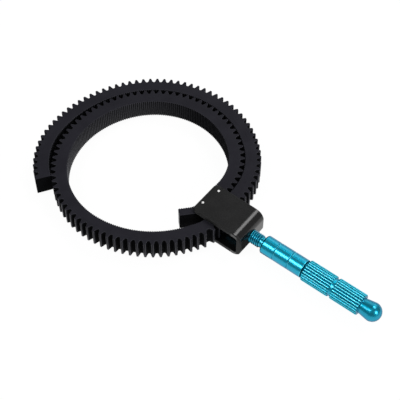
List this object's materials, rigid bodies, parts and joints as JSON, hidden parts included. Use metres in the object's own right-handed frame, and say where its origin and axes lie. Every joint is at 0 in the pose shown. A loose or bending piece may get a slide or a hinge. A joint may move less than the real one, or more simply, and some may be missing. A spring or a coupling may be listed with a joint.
{
  "type": "follow focus gear ring belt",
  "caption": "Adjustable toothed belt wound round a lens and clamped in a channel buckle by a screw with a turned lever handle.",
  "frame": {"origin": "on the lens axis, at mid width of the belt", "axes": "+Z along the lens axis, +X from the lens axis along the lever"},
  "size_m": [0.1441, 0.0788, 0.0116],
  "materials": {
    "belt_rubber": "satin black moulded rubber",
    "black_anodised": "black anodised, fine satin grain",
    "pin_steel": "bright ends",
    "blue_anodised": "glossy teal blue anodised"
  },
  "bodies": {
    "ring": {"gear_belt": "belt_rubber", "buckle": "black_anodised", "belt_pins": "pin_steel"},
    "screw": {"clamp_screw": "blue_anodised"},
    "handle": {"lever": "blue_anodised"}
  },
  "joints": [
    {"name": "screw_advance", "type": "slide", "parent": "ring", "child": "screw", "axis": [1, 0, 0], "range_m": [0, 0.0077]},
    {"name": "lever_turn", "type": "hinge", "parent": "screw", "child": "handle", "pos_m": [0.05315, 0, 0], "axis": [1, 0, 0], "range_deg": [0, 3465]}
  ],
  "couplings": [
    {"joint": "lever_turn", "follows": "screw_advance", "rad_per_m": 7854}
  ]
}
